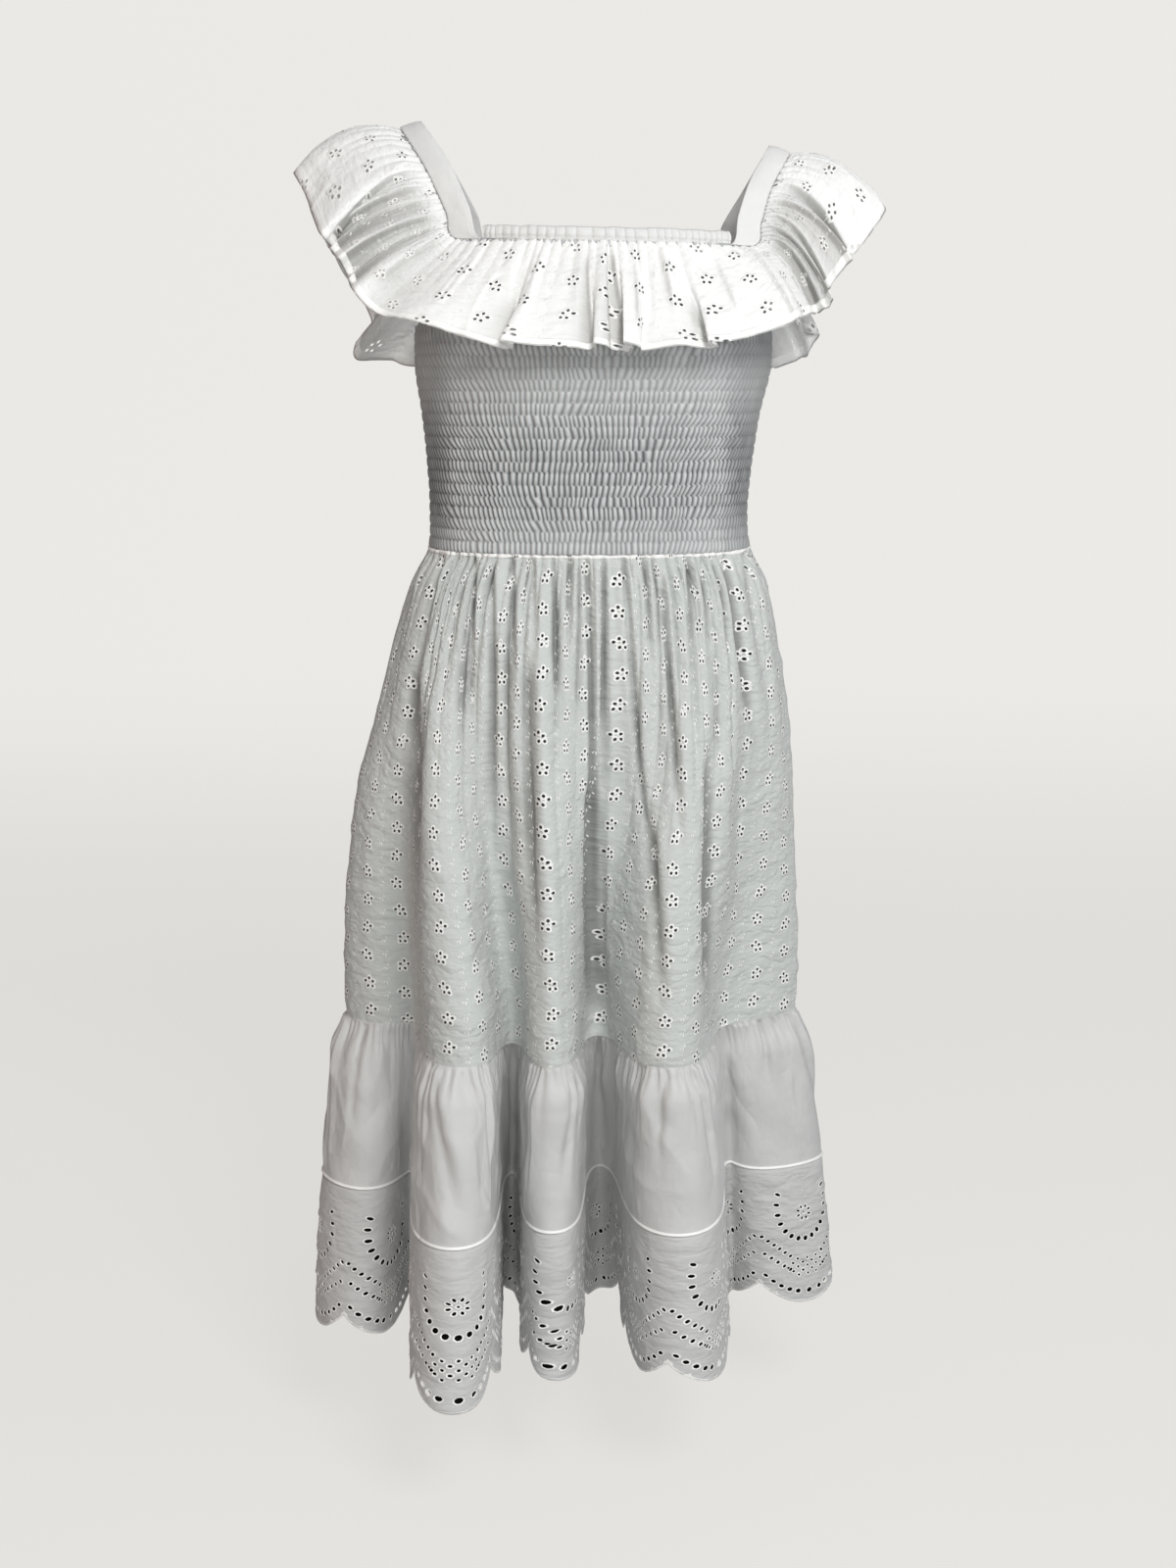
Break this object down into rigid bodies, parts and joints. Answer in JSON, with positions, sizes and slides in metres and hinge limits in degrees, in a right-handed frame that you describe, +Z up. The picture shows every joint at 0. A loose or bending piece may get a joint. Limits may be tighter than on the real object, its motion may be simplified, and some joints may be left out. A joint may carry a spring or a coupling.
{
  "type": "peasant dress",
  "caption": "Worn peasant dress with a shirred bodice, eyelet ruffle over the shoulders, gathered skirt, flounce and scalloped cutwork border.",
  "frame": {"origin": "midway between the two shoulder straps, at the height of the higher strap's top, where the dress is held", "axes": "+Z up along the wearer; the front of the dress faces -Y; +X is on the right as seen from the front"},
  "size_m": [0.541, 0.4632, 1.1363],
  "materials": {
    "shirred_cotton": "matte elastic-shirred cotton lawn",
    "eyelet_cotton": "matte cotton lawn with stitched eyelets",
    "plain_cotton": "smooth cotton lawn with a slight sheen",
    "cutwork_cotton": "matte cotton with satin-stitched cutwork"
  },
  "bodies": {
    "root": {"bodice_front": "shirred_cotton", "bodice_back": "shirred_cotton", "neckband_front": "plain_cotton", "neckband_back": "plain_cotton", "strap_left": "plain_cotton", "strap_right": "plain_cotton", "ruffle_front": "eyelet_cotton", "ruffle_back": "eyelet_cotton", "skirt_front": "eyelet_cotton", "skirt_back": "eyelet_cotton", "flounce_front": "plain_cotton", "flounce_back": "plain_cotton", "border_front": "cutwork_cotton", "border_back": "cutwork_cotton"}
  },
  "joints": []
}
